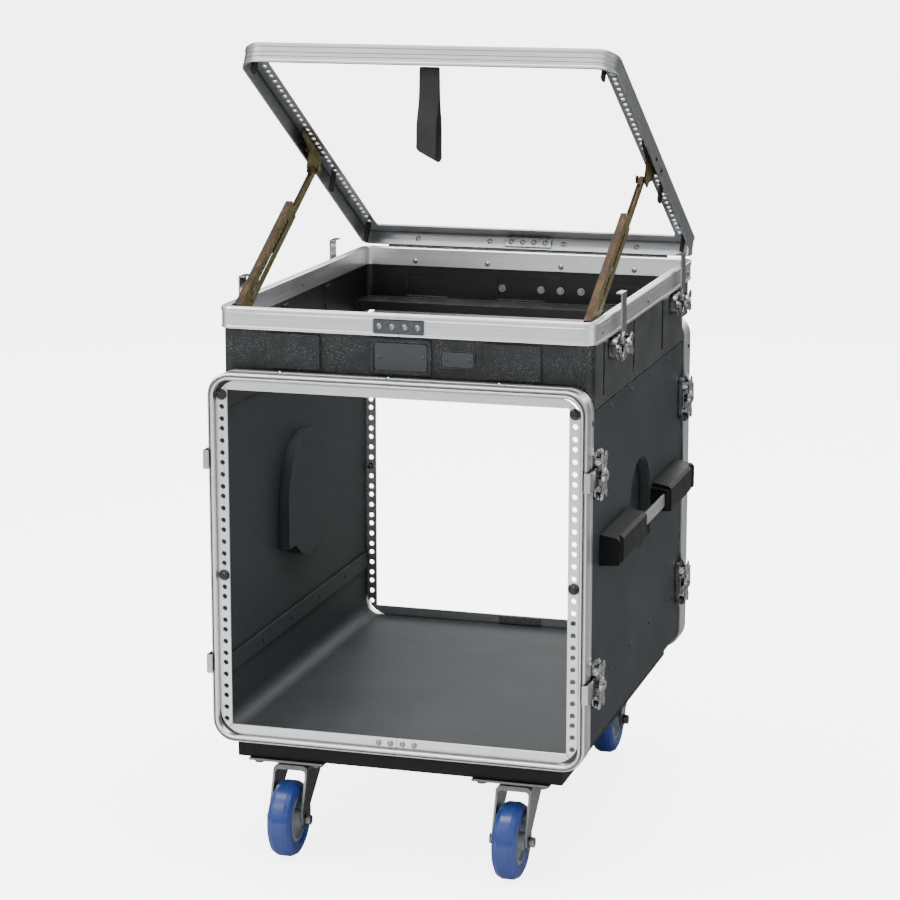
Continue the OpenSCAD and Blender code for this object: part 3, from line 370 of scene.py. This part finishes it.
BY_NODE = {
    "upper_shell": TURRET, "side_panels": SHELL, "bottom_tray": SHELL,
    "caster_board": BOARD, "front_frame": BAY_METAL, "rear_frame": BAY_METAL,
    "rim_frame": RIM_METAL, "popup_frame": POPUP_METAL_SHADED, "joint_plates": DARK_JOINT,
    "popup_joint_plate": BRIGHT_JOINT, "rear_hinge_leaf": HINGE, "popup_hinge_leaf": HINGE,
    "rivets": RIVET, "popup_rivets": RIVET, "rack_screws": SCREW,
    "badge_plates": BADGE, "latch_bases": CHROME, "caster_plates": SHADED_PLATE_ZINC,
    "handle_housings": HANDLE, "handle_straps": STEEL, "popup_pads": PAD,
}
BY_PREFIX = {"stay_": GOLD, "caster_fork_": ZINC, "wing_": CHROME, "hook_": CHROME}


def axle_of(node):
    low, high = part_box(node)
    middle = (low + high) / 2
    return (middle.x, middle.y, middle.z, HUB_SHARE * (high.z - low.z))


for name, node in NODES.items():
    material = BY_NODE.get(name)
    for prefix, shared in BY_PREFIX.items():
        if name.startswith(prefix):
            material = shared
    if name.startswith("caster_wheel_"):
        material = wheel_finish("finish_" + name, axle_of(name))
    if material:
        node.data.materials.clear()
        node.data.materials.append(material)


def paint_faces(node, material, chosen):
    """Gives the chosen faces of a CAD node a second material."""
    mesh = NODES[node].data
    mesh.materials.append(material)
    for polygon in mesh.polygons:
        if chosen(polygon.center):
            polygon.material_index = 1


# bare steel: the badge screws' ends and washers inside the turret
plate_depth = 3.5 * MM
plates_low, plates_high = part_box("badge_plates")
paint_faces("badge_plates", RIVET,
            lambda c: plates_low.y + plate_depth < c.y < plates_high.y - plate_depth)

# blackened: the rivets that hold the black walls; bright: the bay's joint plates
rivet_reach = 12 * MM
wall_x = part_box("side_panels")[1].x - rivet_reach
rim_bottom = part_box("rim_frame")[0].z
paint_faces("rivets", DARK_RIVET, lambda c: abs(c.x) > wall_x and c.z < rim_bottom)
paint_faces("joint_plates", BRIGHT_JOINT, lambda c: c.z < rim_bottom)

soften = NODES["handle_housings"].modifiers.new("rounding", "BEVEL")
soften.width = 4 * MM
soften.segments = 3
soften.limit_method = "ANGLE"
soften.angle_limit = math.radians(50)


# ---- the webbing pull strap ----

def strap():
    """A loop of webbing: two layers that part above a slanted, twisted fold."""
    low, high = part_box("pull_strap")
    centre_x = (low.x + high.x) / 2
    centre_y = (low.y + high.y) / 2
    half = (high.x - low.x) / 2
    fold = 9 * MM                # height kept free for the fold under the layers
    length = high.z - low.z - fold
    thick = 1.5 * MM
    slant_end = 7 * MM
    front_drift, back_drift = -4.2, 1.8      # sideways, in mm, at the fold
    steps, turn, columns = 30, 9, 9
    path = []                    # (sideways shift, y, z, slant) of each row
    for side, drift, bulge in ((-1, front_drift, 5.5), (1, back_drift, 3.5)):
        layer = []
        for i in range(steps + 1):
            t = i / steps
            swell = math.sin(math.pi * max(0.0, t - 0.35) / 0.65) ** 2
            away = (1.2 + bulge * swell + 2.6 * t) * MM
            layer.append((drift * MM * t * t, centre_y + side * away,
                          high.z - t * length, slant_end * t ** 4))
        path += layer if side < 0 else layer[::-1]
        if side < 0:
            for i in range(1, turn):
                a = math.pi * i / turn
                drift_here = front_drift + (back_drift - front_drift) * i / turn
                path.append((drift_here * MM, centre_y - 3.8 * MM * math.cos(a),
                             high.z - length - 5 * MM * math.sin(a), slant_end))
    mesh = bpy.data.meshes.new("pull_strap_loop")
    bm = bmesh.new()
    rows = []
    for k, (shift, y, z, slant) in enumerate(path):
        row = []
        for j in range(columns):
            u = -1 + 2 * j / (columns - 1)
            cup = 0.5 * MM * (1 - u * u) * math.sin(k * 0.3)
            row.append(bm.verts.new((centre_x + u * half + shift, y + cup, z - u * slant)))
        rows.append(row)
    for a, b in zip(rows, rows[1:]):
        for j in range(columns - 1):
            bm.faces.new((a[j], a[j + 1], b[j + 1], b[j]))
    bm.to_mesh(mesh)
    bm.free()
    piece = bpy.data.objects.new("pull_strap_loop", mesh)
    bpy.context.scene.collection.objects.link(piece)
    mesh.materials.append(WEBBING)
    for polygon in mesh.polygons:
        polygon.use_smooth = True
    solid = piece.modifiers.new("thickness", "SOLIDIFY")
    solid.thickness = thick
    solid.offset = 0
    smooth = piece.modifiers.new("round", "SUBSURF")
    smooth.levels = smooth.render_levels = 1
    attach(piece, "popup")
    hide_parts("pull_strap")


strap()


# ---- floor, light and camera ----

def floor():
    """Pale and matte; to glossy rays only it is painted dark behind the case, a painted reflection for
    bright metal.
    """
    bpy.ops.mesh.primitive_plane_add(size=30, location=(0, 0, 0))
    plane = bpy.context.object
    plane.name = "floor"
    f = Finish("floor")
    path = f.new("ShaderNodeLightPath")
    pale = f.mix(f.noise(3, detail=3), (0.93, 0.93, 0.93), (0.95, 0.95, 0.95))
    # painted reflection: glossy rays see the floor dark behind the case
    behind = f.ramp(f.math("ADD", f.math("MULTIPLY", f.axes()[1], 0.4), 0.5),
                    (0.15, 0.9), (0.55, 0.16))
    f.set(Base_Color=f.mix(path.outputs["Is Glossy Ray"], pale, behind),
          Emission_Color=(1, 1, 1),
          Emission_Strength=f.math("MULTIPLY", path.outputs["Is Camera Ray"], FLOOR_GLOW),
          Roughness=0.75)
    plane.data.materials.append(f.material)


def area_light(name, place, aim, width, height, power):
    data = bpy.data.lights.new(name, "AREA")
    data.shape = "RECTANGLE"
    data.size, data.size_y, data.energy = width, height, power
    lamp = bpy.data.objects.new(name, data)
    lamp.location = place
    lamp.rotation_euler = (Vector(aim) - Vector(place)).to_track_quat("-Z", "Y").to_euler()
    bpy.context.scene.collection.objects.link(lamp)


def studio_world():
    """White to the camera, soft to matte surfaces, banded to bright metal."""
    world = bpy.data.worlds.new("studio")
    world.use_nodes = True
    tree = world.node_tree
    tree.nodes.clear()

    def new(kind):
        return tree.nodes.new("ShaderNode" + kind)

    def light(colour, strength):
        node = new("Background")
        node.inputs[1].default_value = strength
        if isinstance(colour, tuple):
            node.inputs[0].default_value = (*colour, 1)
        else:
            tree.links.new(colour, node.inputs[0])
        return node.outputs[0]

    def choose(fac, a, b):
        node = new("MixShader")
        for socket, value in zip(node.inputs, (fac, a, b)):
            tree.links.new(value, socket)
        return node.outputs[0]

    split = new("SeparateXYZ")
    tree.links.new(new("TexCoord").outputs["Generated"], split.inputs[0])
    bands = new("ValToRGB")
    tree.links.new(split.outputs[2], bands.inputs[0])
    stops = ((0.0, 0.5), (0.03, 0.06), (0.16, 0.05), (0.22, 0.9), (0.5, 1.0), (0.56, 0.35),
             (0.72, 0.4), (0.8, 1.2))
    while len(bands.color_ramp.elements) < len(stops):
        bands.color_ramp.elements.new(1)
    for element, (at, level) in zip(bands.color_ramp.elements, stops):
        element.position = at
        element.color = (level, level, level * 1.02, 1)
    path = new("LightPath")
    soft = choose(path.outputs["Is Glossy Ray"], light((0.93, 0.96, 1.0), 0.62),
                  light(bands.outputs[0], 0.9))
    output = new("OutputWorld")
    tree.links.new(choose(path.outputs["Is Camera Ray"], soft, light((1, 1, 1), BACKDROP_GLOW)),
                   output.inputs[0])
    bpy.context.scene.world = world


floor()
area_light("key_left", (-2.6, -2.6, 2.9), (0, 0, 0.6), 1.8, 1.8, 120)
area_light("fill_right", (3.2, -1.6, 1.6), (0, 0, 0.6), 1.2, 2.2, 30)
area_light("top", (0, 0.1, 3.0), (0, 0, 0.5), 2.4, 2.4, 130)
area_light("back", (0.3, 3.4, 2.2), (0, 0, 0.7), 3.0, 2.0, 60)
studio_world()

camera_data = bpy.data.cameras.new("camera")
camera_data.lens = CAMERA_LENS
camera_data.clip_end = 50
camera = bpy.data.objects.new("camera", camera_data)
camera.location = (CAMERA_X, frame_box[0].y - CAMERA_BACK, CAMERA_Z)
camera.rotation_euler = (math.radians(90 - CAMERA_ELEVATION), 0, math.radians(CAMERA_AZIMUTH))
bpy.context.scene.collection.objects.link(camera)
bpy.context.scene.camera = camera
